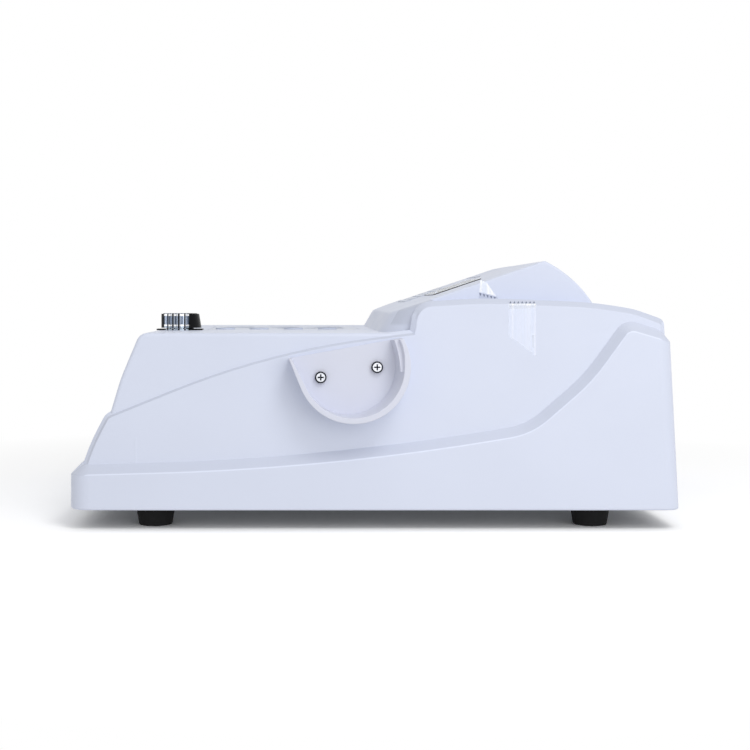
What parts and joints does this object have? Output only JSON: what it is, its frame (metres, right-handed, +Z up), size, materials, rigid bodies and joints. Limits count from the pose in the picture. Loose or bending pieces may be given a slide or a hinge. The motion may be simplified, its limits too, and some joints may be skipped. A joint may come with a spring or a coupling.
{
  "type": "coagulation analyzer",
  "caption": "Bench blood coagulation analyzer: stepped wedge housing with heated wells, push dial, sloped display and keypad, printer lid and a side pipette rest.",
  "frame": {"origin": "under the middle of the whole object's box, on the surface that the feet stand on", "axes": "+Z up; the front, with the deck and the dial, points to -X and the rear panel to +X; the side with the pipette rest points to -Y"},
  "size_m": [0.4154, 0.3354, 0.1835],
  "materials": {
    "housing": "fine moulded texture",
    "well_panel": "satin",
    "steel_plate": "powder coated",
    "foot_rubber": "matte",
    "zinc_screw": "zinc plated",
    "nickel_screw": "nickel plated",
    "block_alloy": "anodised",
    "mat_silicone": "matte",
    "post_brass": "machined",
    "board": "solder mask with parts",
    "probe_steel": "ground",
    "motor_steel": "rolled",
    "black_plastic": "fine texture",
    "dial_black": "glossy",
    "display_glass": "polished",
    "display_case": "matte",
    "keypad_film": "printed film",
    "ribbon_grey": "ribbed",
    "bucket_black": "satin",
    "platen_rubber": "ground",
    "gear_white": "moulded",
    "pinion_brass": "machined",
    "paper_white": "smooth",
    "rest_plastic": "satin",
    "socket_plastic": "moulded",
    "contact_metal": "tinned",
    "fuse_glass": "clear",
    "rear_sheet": "powder coated",
    "port_metal": "pressed"
  },
  "bodies": {
    "housing": {"housing_shell": "housing", "base_plate": "steel_plate", "foot_front_near": "foot_rubber", "foot_front_far": "foot_rubber", "foot_rear_near": "foot_rubber", "foot_rear_far": "foot_rubber", "foot_screws": "zinc_screw", "foot_nuts": "zinc_screw", "base_screws": "zinc_screw", "pipette_rest": "rest_plastic", "rest_screws": "nickel_screw", "rest_nuts": "zinc_screw", "well_panel": "well_panel", "panel_screws": "nickel_screw", "measuring_block": "block_alloy", "incubation_block": "block_alloy", "reagent_block": "block_alloy", "heater_mat": "mat_silicone", "carrier_plate": "block_alloy", "block_posts": "post_brass", "lamp_board": "board", "amplifier_board": "board", "temperature_probe": "probe_steel", "stirrer_motor": "motor_steel", "dial_collar": "dial_black", "encoder_body": "motor_steel", "encoder_nut": "nickel_screw", "display_window": "display_glass", "display_module": "display_case", "display_board": "board", "keypad_membrane": "keypad_film", "lid_hinge_pin": "probe_steel", "feed_motor": "motor_steel", "printer_bucket": "bucket_black", "thermal_head": "motor_steel", "board_standoffs": "post_brass", "main_board": "board", "supply_standoffs": "post_brass", "power_supply": "board", "board_screws": "zinc_screw", "display_ribbon": "ribbon_grey", "rear_panel": "rear_sheet", "rear_panel_screws": "zinc_screw", "mains_inlet": "socket_plastic", "inlet_blades": "contact_metal", "serial_socket": "port_metal", "data_socket": "port_metal"},
    "plunger": {"switch_plunger": "black_plastic"},
    "dial": {"dial_knob": "dial_black", "encoder_shaft": "probe_steel"},
    "lid": {"printer_lid": "housing"},
    "platen": {"platen_roller": "platen_rubber", "platen_gear": "gear_white"},
    "pinion": {"motor_pinion": "pinion_brass"},
    "paper": {"paper_roll": "paper_white", "paper_spindle": "gear_white"},
    "rocker": {"power_rocker": "socket_plastic"},
    "drawer": {"fuse_drawer": "socket_plastic", "fuses": "fuse_glass"},
    "stirrer": {"stirrer_rotor": "black_plastic"}
  },
  "joints": [
    {"name": "dial_push", "type": "slide", "parent": "housing", "child": "plunger", "axis": [0, 0, -1], "range_m": [0, 0.0006], "stiffness_N_per_m": 1500, "springref_m": -0.0008},
    {"name": "dial_turn", "type": "hinge", "parent": "plunger", "child": "dial", "pos_m": [-0.14065, -0.0483, 0.13525], "axis": [0, 0, 1], "continuous": true},
    {"name": "lid_hinge", "type": "hinge", "parent": "housing", "child": "lid", "pos_m": [0.15225, 0.0737, 0.1564], "axis": [0, 1, 0], "range_deg": [0, 100]},
    {"name": "paper_turn", "type": "hinge", "parent": "housing", "child": "paper", "pos_m": [0.12175, 0.0737, 0.1425], "axis": [0, 1, 0], "continuous": true},
    {"name": "platen_turn", "type": "hinge", "parent": "lid", "child": "platen", "pos_m": [0.10125, 0.0737, 0.16667], "axis": [0, 1, 0], "continuous": true},
    {"name": "pinion_turn", "type": "hinge", "parent": "housing", "child": "pinion", "pos_m": [0.10594, 0.1069, 0.15784], "axis": [0, 1, 0], "continuous": true},
    {"name": "power_rocker", "type": "hinge", "parent": "housing", "child": "rocker", "pos_m": [0.19295, 0.0697, 0.0754], "axis": [0, 1, 0], "range_deg": [-16, 0]},
    {"name": "fuse_drawer_slide", "type": "slide", "parent": "housing", "child": "drawer", "axis": [1, 0, 0], "range_m": [0, 0.015]},
    {"name": "stirrer_turn", "type": "hinge", "parent": "housing", "child": "stirrer", "pos_m": [-0.10025, 0.0577, 0.093], "axis": [0, 0, 1], "continuous": true}
  ],
  "couplings": [
    {"joint": "platen_turn", "follows": "paper_turn", "ratio": 4.1111},
    {"joint": "pinion_turn", "follows": "paper_turn", "ratio": -6.1667}
  ]
}
